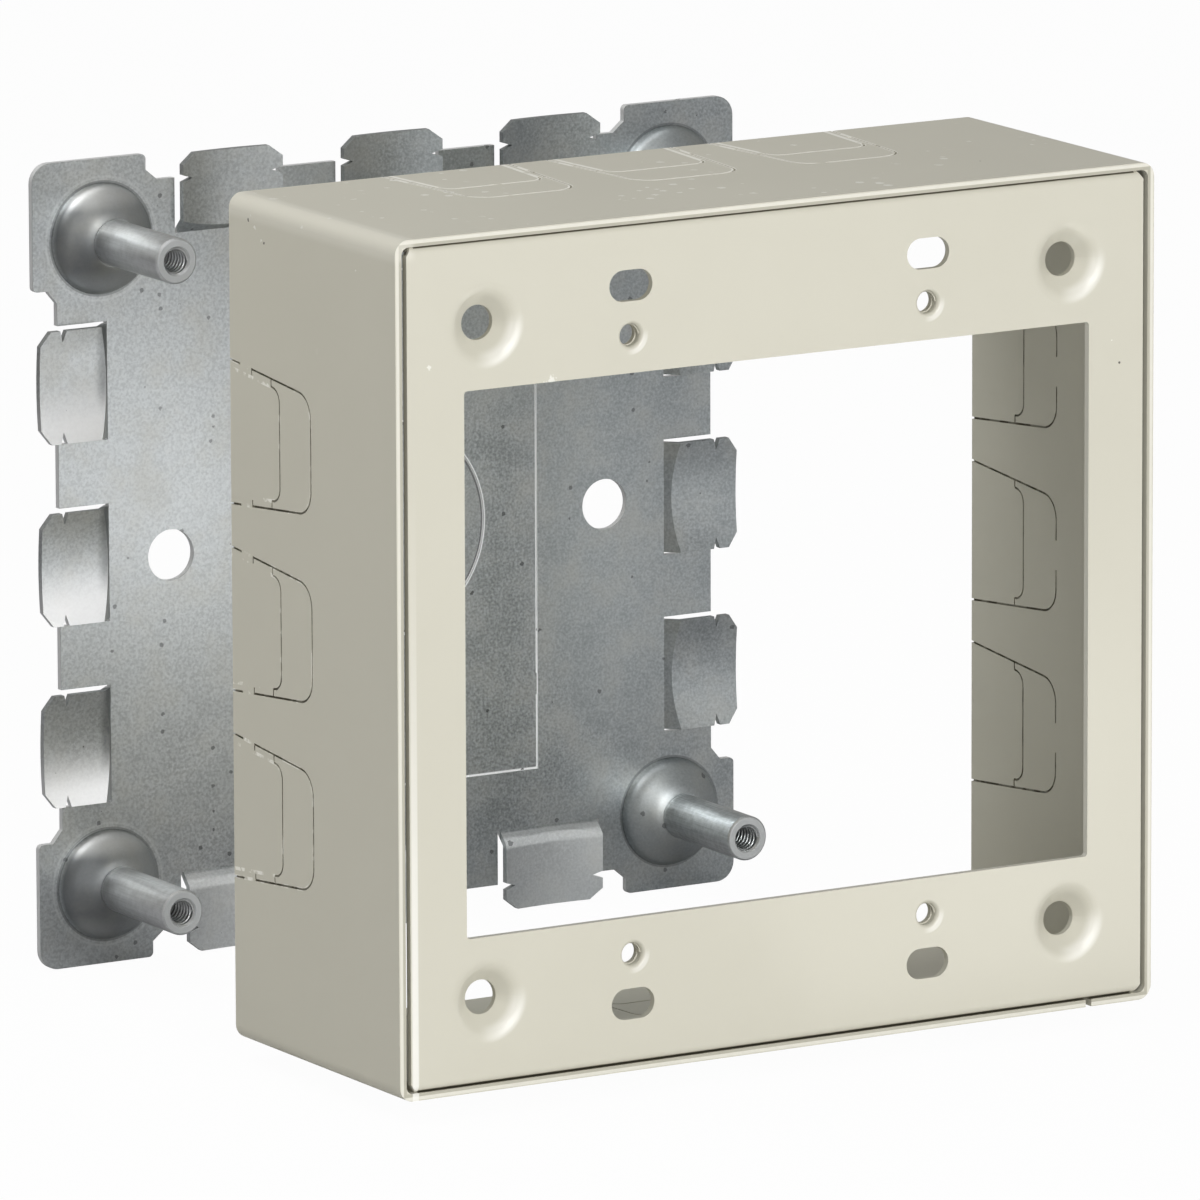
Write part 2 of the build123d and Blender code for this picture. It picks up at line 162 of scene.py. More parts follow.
def blend_colours(tree, factor, first, second):
    """A Mix node between two colours, each a socket or a plain colour."""
    node = add(tree, "ShaderNodeMix", data_type="RGBA")
    for index, value in ((0, factor), (6, first), (7, second)):
        if isinstance(value, (int, float, tuple)):
            node.inputs[index].default_value = value
        else:
            join(tree, value, node.inputs[index])
    return node.outputs[2]


def times(tree, *factors):
    """The product of several masks or plain numbers."""
    product = factors[0]
    for factor in factors[1:]:
        product = math_node(tree, "MULTIPLY", product, factor)
    return product


def either(tree, first, second):
    """The greater of two values, which joins two masks."""
    return math_node(tree, "MAXIMUM", first, second)


def length(tree, first, second):
    """The length of the slanting side over two upright ones."""
    square = math_node(tree, "ADD", times(tree, first, first), times(tree, second, second))
    return math_node(tree, "SQRT", square)


def sign_of(tree, value):
    """1 for a value above nought and -1 below it."""
    return math_node(tree, "SIGN", value)


def paint(tree, colour, mask, tint, strength=1.0):
    """A colour with a tint laid over it where a mask is 1, at some strength."""
    factor = mask if strength == 1.0 else times(tree, mask, strength)
    return blend_colours(tree, factor, colour, (*tint, 1))


def shader_group(name, inputs, outputs):
    """A new shader node group; inputs are (name, kind, default), outputs are (name, kind)."""
    group = bpy.data.node_groups.new(name, "ShaderNodeTree")
    for label, kind, default in inputs:
        socket = group.interface.new_socket(label, in_out="INPUT", socket_type=kind)
        if default is not None:
            socket.default_value = default
    for label, kind in outputs:
        group.interface.new_socket(label, in_out="OUTPUT", socket_type=kind)
    return group, group.nodes.new("NodeGroupInput"), group.nodes.new("NodeGroupOutput")


FLOAT = "NodeSocketFloat"
VECTOR = "NodeSocketVector"
print("helpers ready")

# %% [markdown]
# ## Effects that several finishes share
#
# A surface of steel or paint is never quite even. Three groups make that: grain is a fine
# mottle, cloud is a broad drift, and specks are small round marks thinly spread. Each takes
# the place on the object in metres and a size in millimetres, so one group serves every
# finish at its own scale.

# %% Grain, drift and specks
def make_grain_group():
    """Fine or broad mottling as a value from 0 to 1 round 0.5."""
    group, entry, leave = shader_group(
        "surface_grain",
        [("Place", VECTOR, None), ("Size mm", FLOAT, 1.0), ("Detail", FLOAT, 3.0)],
        [("Value", FLOAT)],
    )
    scale = math_node(group, "DIVIDE", 1000.0, entry.outputs["Size mm"])
    noise = add(group, "ShaderNodeTexNoise", {"Roughness": 0.6})
    join(group, entry.outputs["Place"], noise.inputs["Vector"])
    join(group, scale, noise.inputs["Scale"])
    join(group, entry.outputs["Detail"], noise.inputs["Detail"])
    join(group, noise.outputs["Fac"], leave.inputs["Value"])
    return group


def make_speck_group():
    """Thinly spread round marks: 1 in the middle of a mark and 0 elsewhere."""
    group, entry, leave = shader_group(
        "surface_specks",
        [
            ("Place", VECTOR, None),
            ("Spacing mm", FLOAT, 4.0),
            ("Share", FLOAT, 0.2),
            ("Radius", FLOAT, 0.1),
        ],
        [("Mask", FLOAT)],
    )
    scale = math_node(group, "DIVIDE", 1000.0, entry.outputs["Spacing mm"])
    wobble = add(group, "ShaderNodeTexNoise", {"Scale": 3000.0, "Detail": 1.0})
    join(group, entry.outputs["Place"], wobble.inputs["Vector"])
    cells = add(group, "ShaderNodeTexVoronoi", feature="F1")
    join(group, entry.outputs["Place"], cells.inputs["Vector"])
    join(group, scale, cells.inputs["Scale"])
    pick = add(group, "ShaderNodeSeparateColor")
    join(group, cells.outputs["Color"], pick.inputs[0])
    chosen = math_node(group, "LESS_THAN", pick.outputs[0], entry.outputs["Share"])
    size = math_node(group, "MULTIPLY", entry.outputs["Radius"], pick.outputs[1])
    edge = math_node(group, "MULTIPLY", size, math_node(group, "ADD", wobble.outputs["Fac"], 0.5))
    inside = math_node(group, "LESS_THAN", cells.outputs["Distance"], edge)
    join(group, math_node(group, "MULTIPLY", inside, chosen), leave.inputs["Mask"])
    return group


grain_group = make_grain_group()
speck_group = make_speck_group()


def grain(tree, place, size, detail=3.0):
    """The grain group placed in a tree; returns its value."""
    node = add(tree, "ShaderNodeGroup", node_tree=grain_group)
    join(tree, place, node.inputs["Place"])
    node.inputs["Size mm"].default_value = size
    node.inputs["Detail"].default_value = detail
    return node.outputs["Value"]


def specks(tree, place, spacing, share, radius):
    """The speck group placed in a tree; returns its mask."""
    node = add(tree, "ShaderNodeGroup", node_tree=speck_group)
    join(tree, place, node.inputs["Place"])
    node.inputs["Spacing mm"].default_value = spacing
    node.inputs["Share"].default_value = share
    node.inputs["Radius"].default_value = radius
    return node.outputs["Mask"]


def in_millimetres(tree, place):
    """The three coordinates of a place on the object, in millimetres."""
    scaled = add(tree, "ShaderNodeVectorMath", operation="SCALE")
    scaled.inputs["Scale"].default_value = 1000.0
    join(tree, place, scaled.inputs[0])
    parts = add(tree, "ShaderNodeSeparateXYZ")
    join(tree, scaled.outputs[0], parts.inputs[0])
    return parts.outputs[0], parts.outputs[1], parts.outputs[2]


def from_middle(tree, value, middle=0.0):
    """The plain distance of a value from a middle."""
    return math_node(tree, "ABSOLUTE", math_node(tree, "SUBTRACT", value, middle))


def within(tree, value, low, high, soft=0.04):
    """1 where a value lies between two limits, with a soft edge."""
    rise = ramp(tree, value, low - soft, low)
    fall = ramp(tree, value, high + soft, high)
    return math_node(tree, "MULTIPLY", rise, fall)


print("groups:", [g.name for g in bpy.data.node_groups])

# %% [markdown]
# ## Where the knockouts' lines run
#
# The sheared lines are real grooves in the solid. Broken pale paint and a painted highlight lie
# along their rims, so the enamel must know how far a place is from a line. The group below takes
# a place along a wall and its height above the wall's back edge, folds the three knockouts of the
# wall into one, and gives the distance to the long and to the short outline.

# %% Knockout distance
KNOCKOUT_PITCH = 25.4
KNOCKOUT_MOUTH = 9.9
KNOCKOUT_TAPER = 0.088
KNOCKOUT_LONG = 21.6
KNOCKOUT_SHORT = 13.3
KNOCKOUT_STEP = 1.1


def rounded_distance(tree, across, along, radius):
    """Distance from a corner rounded by a radius, from the distances to its two sides."""
    first = math_node(tree, "ADD", across, radius)
    second = math_node(tree, "ADD", along, radius)
    inside = math_node(tree, "MINIMUM", math_node(tree, "MAXIMUM", first, second), 0.0)
    first = math_node(tree, "POWER", math_node(tree, "MAXIMUM", first, 0.0), 2.0)
    second = math_node(tree, "POWER", math_node(tree, "MAXIMUM", second, 0.0), 2.0)
    outside = math_node(tree, "SQRT", math_node(tree, "ADD", first, second))
    return math_node(tree, "SUBTRACT", math_node(tree, "ADD", inside, outside), radius)


def make_knockout_group():
    """How near a place on a wall is to the line of a knockout: 1 on the line, 0 beyond it."""
    group, entry, leave = shader_group(
        "knockout_line_rim",
        [("Along mm", FLOAT, 0.0), ("Height mm", FLOAT, 0.0), ("Width mm", FLOAT, 0.25)],
        [("Mask", FLOAT)],
    )
    along, height = entry.outputs["Along mm"], entry.outputs["Height mm"]
    column = math_node(group, "ROUND", math_node(group, "DIVIDE", along, KNOCKOUT_PITCH))
    column = math_node(group, "MAXIMUM", math_node(group, "MINIMUM", column, 1.0), -1.0)
    middle = math_node(group, "MULTIPLY", column, KNOCKOUT_PITCH)
    away = math_node(group, "ABSOLUTE", math_node(group, "SUBTRACT", along, middle))
    edge = math_node(group, "MULTIPLY_ADD", height, -KNOCKOUT_TAPER, KNOCKOUT_MOUTH)
    side = math_node(group, "SUBTRACT", away, edge)
    long_line = rounded_distance(
        group, side, math_node(group, "SUBTRACT", height, KNOCKOUT_LONG), 3.5
    )
    short_line = rounded_distance(
        group,
        math_node(group, "ADD", side, KNOCKOUT_STEP),
        math_node(group, "SUBTRACT", height, KNOCKOUT_SHORT),
        2.1,
    )
    near = math_node(
        group,
        "MINIMUM",
        math_node(group, "ABSOLUTE", math_node(group, "ADD", long_line, 0.15)),
        math_node(group, "ABSOLUTE", math_node(group, "ADD", short_line, 0.15)),
    )
    reach = math_node(group, "DIVIDE", near, entry.outputs["Width mm"])
    join(group, ramp(group, reach, 1.0, 0.6), leave.inputs["Mask"])
    return group


knockout_group = make_knockout_group()


def knockout_rim(tree, along, height, width):
    """The knockout group placed in a tree; returns its mask."""
    node = add(tree, "ShaderNodeGroup", node_tree=knockout_group)
    join(tree, along, node.inputs["Along mm"])
    join(tree, height, node.inputs["Height mm"])
    node.inputs["Width mm"].default_value = width
    return node.outputs["Mask"]


# %% [markdown]
# ## The beige enamel
#
# The cover is sprayed and baked: a warm off-white, evenly laid, satin rather than glossy,
# with the faint ripple that sprayers call orange peel. Where the knockouts are sheared the
# paint is broken and the line is dark with bare metal and painted shade. Here and there sits a
# pale nib of dust, and a knock has left a pale or a dark chip. The lists give the chips' places
# and sizes in millimetres; the corner reliefs are painted dark as painted shade.

# %% Chips and dished holes of the cover
BAND_PALE_CHIPS = (
    ((-58.75, -68.0, 57.9), 0.4),
    ((-58.75, -69.6, 56.4), 0.35),
    ((54.3, -81.8, 61.5), 0.4),
    ((37.5, -81.8, 61.5), 0.35),
)
FRONT_PALE_CHIPS = (
    ((-53.7, -105.0, 44.3), 0.45),
    ((-35.1, -105.0, 40.9), 0.75),
    ((-36.1, -105.0, 40.5), 0.5),
    ((52.1, -105.0, 37.8), 0.14),
    ((47.9, -105.0, -32.1), 0.35),
)
# The corner reliefs are painted dark: painted shade in the small gaps at the top corners.
CORNER_RELIEF_SHADE = (
    ((-56.7, -104.2, 59.7), 0.55),
    ((57.2, -104.2, 59.7), 0.7),
)
BAND_DARK_CHIPS_AND_SHADE = (
    ((-58.75, -70.4, 56.1), 0.3),
    ((-58.75, -66.2, 58.6), 0.25),
    ((39.2, -92.4, 61.5), 0.2),
) + CORNER_RELIEF_SHADE
FRONT_DARK_CHIPS_AND_SHADE = (((53.3, -105.0, 34.6), 0.17),) + CORNER_RELIEF_SHADE
# Each row is a hole's distance across and up from the middle, its radius and its dish's radius.
DISHED_HOLES = ((45.2, 45.2, 2.5, 5.2), (23.02, 41.67, 1.4, 2.4))
print("chips:", len(BAND_PALE_CHIPS + FRONT_PALE_CHIPS + BAND_DARK_CHIPS_AND_SHADE + FRONT_DARK_CHIPS_AND_SHADE))

# %% [markdown]
# A chip is a round spot whose edge is frayed by a fine mottle. A dished hole gets a painted
# highlight at its lower right and painted shade at its upper right, where its wall turns to and
# from the lamps.

# %% Marks on the enamel
DIAGONAL = math.sqrt(0.5)


def new_material(name):
    """An empty node material with its Principled shader and its place on the object."""
    material = bpy.data.materials.new(name)
    material.use_nodes = True
    tree = material.node_tree
    shader = tree.nodes["Principled BSDF"]
    place = add(tree, "ShaderNodeTexCoord").outputs["Object"]
    return material, tree, shader, place


def soft_spot(tree, place, uneven, spot, radius):
    """1 round one spot given in millimetres, 0 beyond its radius; uneven frays its edge."""
    away = add(tree, "ShaderNodeVectorMath", operation="DISTANCE")
    join(tree, place, away.inputs[0])
    away.inputs[1].default_value = [v * MM for v in spot]
    frayed = math_node(tree, "MULTIPLY_ADD", uneven, radius * MM * 2.4, away.outputs["Value"])
    return ramp(tree, frayed, radius * MM * 2.1, radius * MM * 1.7)


def chips_over(tree, place, uneven, start, chips):
    """A mask with the spots of a list of chips added to what it starts from."""
    for spot, radius in chips:
        start = either(tree, start, soft_spot(tree, place, uneven, spot, radius))
    return start


def dished_rings(tree, x, upright, across, up, inner, outer):
    """The painted highlight at the lower right and the painted shade at the upper right of four
    dished holes, as two masks.
    """
    away_x = math_node(tree, "SUBTRACT", x, times(tree, sign_of(tree, x), across))
    away_z = math_node(tree, "SUBTRACT", upright, times(tree, sign_of(tree, upright), up))
    radius = length(tree, away_x, away_z)
    least = math_node(tree, "MAXIMUM", radius, 0.1)
    along = math_node(tree, "DIVIDE", away_x, least)
    rise = math_node(tree, "DIVIDE", away_z, least)
    soft = (outer - inner) * 0.33
    down_right = times(tree, math_node(tree, "SUBTRACT", along, rise), DIAGONAL)
    up_right = times(tree, math_node(tree, "ADD", along, rise), DIAGONAL)
    lit = within(tree, radius, outer - soft, outer, soft)
    lit = times(tree, lit, ramp(tree, down_right, 0.45, 1.0))
    shaded = within(tree, radius, inner, outer - 2 * soft, soft)
    shaded = times(tree, shaded, ramp(tree, up_right, 0.3, 0.95))
    return lit, shaded


# %% [markdown]
# Both enamelled pieces need to know where a place lies on the cover: how far across and up
# from its middle, how deep behind its front, and how far in from its four outer faces.

# %% Places on the cover
def places_on_cover(tree, place):
    """Distances on the cover in millimetres, and its half width and half height."""
    x, y, z = in_millimetres(tree, place)
    low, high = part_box("side_band")
    half_width = (high.x - low.x) / 2 / MM
    half_height = (high.z - low.z) / 2 / MM
    upright = math_node(tree, "SUBTRACT", z, (high.z + low.z) / 2 / MM)
    return SimpleNamespace(
        x=x,
        y=y,
        upright=upright,
        half_width=half_width,
        half_height=half_height,
        front=low.y / MM,
        back=high.y / MM,
        height=math_node(tree, "SUBTRACT", high.y / MM, y),
        depth=math_node(tree, "SUBTRACT", y, low.y / MM),
        rim_x=math_node(tree, "SUBTRACT", half_width, from_middle(tree, x)),
        rim_z=math_node(tree, "SUBTRACT", half_height, from_middle(tree, upright)),
        on_top=ramp(tree, upright, half_height - 0.12, half_height - 0.02),
        on_side=ramp(tree, from_middle(tree, x), half_width - 0.12, half_width - 0.02),
    )


def left_half(tree, at):
    """1 on the cover's left half."""
    return ramp(tree, at.x, 0.0, -1.0)


# %% [markdown]
# The band carries the knockouts. Along their lines the outer faces get broken pale paint with a
# painted highlight, and inside the groove the paint is missing, with dark bare metal and painted
# shade. Its front rim gets painted shade at its inner edge and a painted highlight on its crown,
# and dust has settled on its top and on the upper part of its sides.

# %% What shows on the band
WALL_INSIDE = 0.92
KNOCKOUT_ZONE = 40.0


def lifted_paint_and_highlight(tree, at, crack):
    """Broken pale paint and a painted highlight along the knockouts' lines, on the top and on both
    sides.
    """
    top_rim = times(
        tree, knockout_rim(tree, at.x, at.height, 0.42), at.on_top, ramp(tree, crack, 0.3, 0.42)
    )
    side_rim = times(
        tree,
        knockout_rim(tree, at.upright, at.height, 0.3),
        at.on_side,
        ramp(tree, crack, 0.52, 0.62),
    )
    return either(tree, top_rim, side_rim)


def bare_grooves_and_shade(tree, at, crack):
    """Dark bare metal and painted shade inside the sheared grooves, below the outer face."""
    in_side = times(
        tree,
        within(tree, at.rim_x, 0.1, WALL_INSIDE),
        ramp(tree, from_middle(tree, at.upright), KNOCKOUT_ZONE + 0.04, KNOCKOUT_ZONE),
    )
    in_top = times(
        tree,
        within(tree, at.rim_z, 0.1, WALL_INSIDE),
        ramp(tree, from_middle(tree, at.x), KNOCKOUT_ZONE + 0.04, KNOCKOUT_ZONE),
        0.3,
    )
    worn = math_node(tree, "MULTIPLY_ADD", ramp(tree, crack, 0.4, 0.6), -0.5, 0.9)
    between_ends = within(tree, at.y, at.front + 0.1, at.back - 0.1)
    return times(tree, either(tree, in_side, in_top), worn, between_ends)


def dust_on_band(tree, at, place):
    """Patches of small pale nibs on the top and the upper sides."""
    patch = ramp(tree, grain(tree, place, 14.0, 2.0), 0.5, 0.58)
    upper_side = times(tree, at.on_side, ramp(tree, at.upright, 34.0, 50.0))
    nibs = specks(tree, place, 2.0, 0.5, 0.34)
    return times(tree, nibs, patch, either(tree, at.on_top, upper_side))


def paint_band_rim_light_and_shade(tree, at, colour):
    """The band's front rim: painted shade at its inner edge and a painted highlight on its crown.
    """
    rim = math_node(tree, "MINIMUM", at.rim_x, at.rim_z)
    on_rim = ramp(tree, at.depth, 0.06, 0.02)
    # Painted shade at the rim's inner edge.
    edge = times(tree, within(tree, rim, 0.66, 1.0, 0.12), on_rim)
    colour = paint(tree, colour, edge, (0.3, 0.285, 0.22), 0.45)
    # Painted highlight along the rim's crown.
    rim_highlight = times(tree, within(tree, rim, 0.2, 0.5, 0.12), on_rim)
    return paint(tree, colour, rim_highlight, (0.92, 0.905, 0.83), 0.5)


# %% [markdown]
# Painted shade darkens the narrow seam between band and front plate. Painted highlights lie on
# the top left corner's fold and on the front plate's left flange, and on the cut edges of the
# window.

# %% What shows on the front plate
WINDOW_HALF_WIDTH = 48.4
WINDOW_HALF_HEIGHT = 36.9


def paint_seam_shade_and_highlights(tree, at, colour):
    """Painted shade in the seam between band and front plate, and painted highlights on the folds
    beside it.
    """
    # Painted shade in the seam along the top and the bottom, and in the gap at the sides.
    seam_shade = times(
        tree,
        within(tree, at.rim_z, 0.97, 1.25, 0.12),
        within(tree, at.rim_x, 3.0, 80.0),
        ramp(tree, at.depth, 0.1, 0.3),
    )
    gap_shade = times(
        tree,
        within(tree, at.rim_x, 0.9, 2.0, 0.15),
        ramp(tree, at.depth, 0.5, 1.5),
        ramp(tree, at.rim_z, 0.75, 0.95),
        0.8,
    )
    seam_shade = times(tree, either(tree, seam_shade, gap_shade), ramp(tree, at.depth, 8.0, 7.0))
    colour = paint(tree, colour, seam_shade, (0.12, 0.11, 0.075))
    # Painted highlight on the fold of the top left corner.
    fold_highlight = times(
        tree,
        ramp(tree, at.rim_x, 3.4, 2.2),
        ramp(tree, at.rim_z, 3.4, 2.2),
        left_half(tree, at),
        ramp(tree, at.upright, 0.0, 1.0),
    )
    colour = paint(tree, colour, fold_highlight, (0.86, 0.84, 0.75), 0.4)
    # Painted highlight along the front plate's left flange, brightest near the bottom.
    flange_highlight = times(
        tree,
        within(tree, at.rim_x, 2.05, 2.75, 0.25),
        ramp(tree, at.depth, 0.9, 0.5),
        left_half(tree, at),
        ramp(tree, at.upright, 30.0, -50.0),
    )
    return paint(tree, colour, flange_highlight, (0.96, 0.95, 0.9), 0.8)


def paint_window_edge_highlight(tree, at, colour):
    """A painted highlight on the cut edge of the window."""
    out_x = math_node(tree, "SUBTRACT", from_middle(tree, at.x), WINDOW_HALF_WIDTH)
    out_z = math_node(tree, "SUBTRACT", from_middle(tree, at.upright), WINDOW_HALF_HEIGHT)
    inside = ramp(tree, either(tree, out_x, out_z), 0.2, 0.1)
    window_edge_highlight = times(tree, inside, within(tree, at.depth, 0.05, 1.1))
    return paint(tree, colour, window_edge_highlight, (0.95, 0.93, 0.85), 0.6)


def paint_dish_light_and_shade(tree, at, colour):
    """Painted highlight and painted shade round the screw seats and the device holes."""
    on_front = ramp(tree, at.depth, 3.0, 2.6)
    for across, up, inner, outer in DISHED_HOLES:
        lit, shaded = dished_rings(tree, at.x, at.upright, across, up, inner, outer)
        # Painted highlight at the lower right and painted shade at the upper right of each dish.
        colour = paint(tree, colour, times(tree, lit, on_front), (1, 0.99, 0.94), 0.5)
        colour = paint(tree, colour, times(tree, shaded, on_front), (0.36, 0.345, 0.28), 0.3)
    return colour


# %% [markdown]
# Band and front plate share one enamel, and each gets only the marks that it can show. The
# roughness stays above 0.285: below about 0.27 the denoiser treats the surface as a mirror and
# draws streaks on it.

# %% Enamel on the band and on the front plate
SMOOTHEST = 0.285
RIPPLE_HEIGHT = 0.00002


def make_enamel(name, pale_chips, dark_chips_and_shade, is_band):
    """Beige enamel with the marks, painted highlights and painted shade of the band or of the
    front plate.
    """
    material, tree, shader, place = new_material(name)
    shader.inputs["Metallic"].default_value = 0.0
    at = places_on_cover(tree, place)
    drift = grain(tree, place, 30.0, 2.0)
    uneven = grain(tree, place, 0.5, 2.0)
    rough = math_node(tree, "MULTIPLY_ADD", drift, 0.05, SMOOTHEST)
    colour = blend_colours(tree, drift, (0.64, 0.62, 0.525, 1), (0.67, 0.65, 0.555, 1))
    dust = 0.0
    if is_band:
        crack = grain(tree, place, 2.5, 3.0)
        # Broken pale paint and a painted highlight along the knockouts' lines.
        colour = paint(tree, colour, lifted_paint_and_highlight(tree, at, crack), (0.95, 0.935, 0.86))
        # Dark bare metal and painted shade inside the grooves.
        groove = bare_grooves_and_shade(tree, at, crack)
        colour = paint(tree, colour, groove, (0.12, 0.105, 0.07))
        rough = either(tree, rough, times(tree, groove, 0.8))
        colour = paint_band_rim_light_and_shade(tree, at, colour)
        dust = dust_on_band(tree, at, place)
    colour = paint_seam_shade_and_highlights(tree, at, colour)
    if not is_band:
        colour = paint_window_edge_highlight(tree, at, colour)
        colour = paint_dish_light_and_shade(tree, at, colour)
    pale = chips_over(tree, place, uneven, dust, pale_chips)
    colour = paint(tree, colour, pale, (0.85, 0.84, 0.77))
    # Dark pin holes and chips, and painted shade in the corner reliefs.
    dark = chips_over(tree, place, uneven, specks(tree, place, 9.0, 0.1, 0.03), dark_chips_and_shade)
    colour = paint(tree, colour, dark, (0.13, 0.12, 0.1))
    join(tree, colour, shader.inputs["Base Color"])
    join(tree, rough, shader.inputs["Roughness"])
    ripple(tree, shader, grain(tree, place, 1.4, 1.0), 0.1)
    return material


def ripple(tree, shader, height, strength):
    """A bump on a shader from a height between 0 and 1."""
    bump = add(tree, "ShaderNodeBump", {"Strength": strength, "Distance": RIPPLE_HEIGHT})
    join(tree, height, bump.inputs["Height"])
    join(tree, bump.outputs["Normal"], shader.inputs["Normal"])


band_enamel = make_enamel("band_enamel_finish", BAND_PALE_CHIPS, BAND_DARK_CHIPS_AND_SHADE, True)
front_enamel = make_enamel("front_enamel_finish", FRONT_PALE_CHIPS, FRONT_DARK_CHIPS_AND_SHADE, False)
nodes["side_band"].material_slots[0].material = band_enamel
nodes["front_plate"].material_slots[0].material = front_enamel
print("enamel nodes:", len(band_enamel.node_tree.nodes), len(front_enamel.node_tree.nodes))

# %% [markdown]
# ## The galvanised sheet
#
# Hot-dip galvanised sheet for stamping has a very small, dull spangle: a blue-grey mottle
# under a millimetre across, with darker pits and a few scuffs. Its left part is lightened with
# painted light and shows pale crystals. The domes carry painted shade and painted highlights,
# a dark ring at each foot and a painted highlight ring round the left ones; the knockouts' lines
# and the sheet's cut edges carry painted highlights, the round knockout a painted shadow inside
# its line, and the tabs a painted highlight at one end and painted shade at their roots.

# %% Tones of the plate
POST_AXIS = 45.2
DOME_RADIUS = 7.4
LEFT_PART = (-30.0, -31.0)
LARGE_KNOCKOUT = (23.75, 36.6)
ROUND_KNOCKOUT = 15.2
TAB_SPACING = 25.4
WHITE = (1, 1, 1)


def paint_dome_shade_and_highlight(tree, x, z, dome, colour):
    """The left domes: painted shade, more so at their left, and a painted highlight at the top."""
    on_left = times(tree, dome, ramp(tree, x, *LEFT_PART))
    turned = math_node(tree, "MULTIPLY_ADD", ramp(tree, x, -43.5, -48.5), 0.4, 0.35)
    dome_up = math_node(tree, "SUBTRACT", z, times(tree, sign_of(tree, z), POST_AXIS))
    lit = times(tree, on_left, ramp(tree, dome_up, 4.0, 6.5))
    low = times(tree, ramp(tree, dome_up, -3.0, -6.5), 0.7)
    spared = math_node(tree, "SUBTRACT", 1.0, either(tree, lit, low))
    # Painted shade on the left domes, lighter at their tops and bottoms.
    colour = paint(tree, colour, times(tree, on_left, turned, spared), (0.13, 0.138, 0.145))
    # Painted highlight at the left domes' tops.
    return paint(tree, colour, lit, WHITE, 0.4)


def sheared_line_highlights(tree, x, y, z, from_centre):
    """Painted highlights on the knockouts' lines and on the sheet's cut edges."""
    across, up = LARGE_KNOCKOUT
    out_x = math_node(tree, "SUBTRACT", from_middle(tree, x), across)
    out_z = math_node(tree, "SUBTRACT", from_middle(tree, z), up)
    oblong = within(tree, either(tree, out_x, out_z), -0.14, 0.02)
    ring = within(tree, from_centre, ROUND_KNOCKOUT - 0.02, ROUND_KNOCKOUT + 0.16, 0.04)
    edge = times(tree, ramp(tree, y, -0.97, -0.9), ramp(tree, y, -0.02, -0.1))
    return either(tree, oblong, either(tree, ring, edge))


def paint_foot_rings_and_halo_highlight(tree, x, from_post, colour):
    """A dark ring at each dome's foot, and a painted highlight ring round the left domes."""
    foot = within(tree, from_post, 7.75, 8.0, 0.1)
    colour = paint(tree, colour, foot, (0.2, 0.21, 0.215), 0.6)
    # Painted highlight ring round the left domes.
    halo_highlight = times(tree, within(tree, from_post, 8.5, 8.65, 0.15), ramp(tree, x, *LEFT_PART))
    return paint(tree, colour, halo_highlight, (0.8, 0.82, 0.82), 0.35)


def paint_left_tab_light_and_shade(tree, x, z, raised, colour):
    """The left tabs: a painted highlight towards their lower ends, painted shade at the upper part
    of their roots.
    """
    along = math_node(tree, "WRAP", z, TAB_SPACING / 2, -TAB_SPACING / 2)
    left_tab = times(tree, raised, ramp(tree, x, -44.0, -45.0))
    # Painted highlight towards the tabs' lower ends.
    lit_end = times(tree, left_tab, ramp(tree, along, 2.0, -6.5))
    colour = paint(tree, colour, lit_end, WHITE, 0.8)
    # Painted shade at the upper part of the tabs' roots.
    root = times(tree, left_tab, ramp(tree, x, -47.2, -45.6), ramp(tree, along, -5.0, 0.0))
    return paint(tree, colour, root, (0.12, 0.125, 0.13), 0.55)


# %% [markdown]
# The plate's colour starts from the mottle, calmed on the smooth domes, and the tones above
# are laid over it one by one. Sheared edges, domes and the lower tabs are duller.

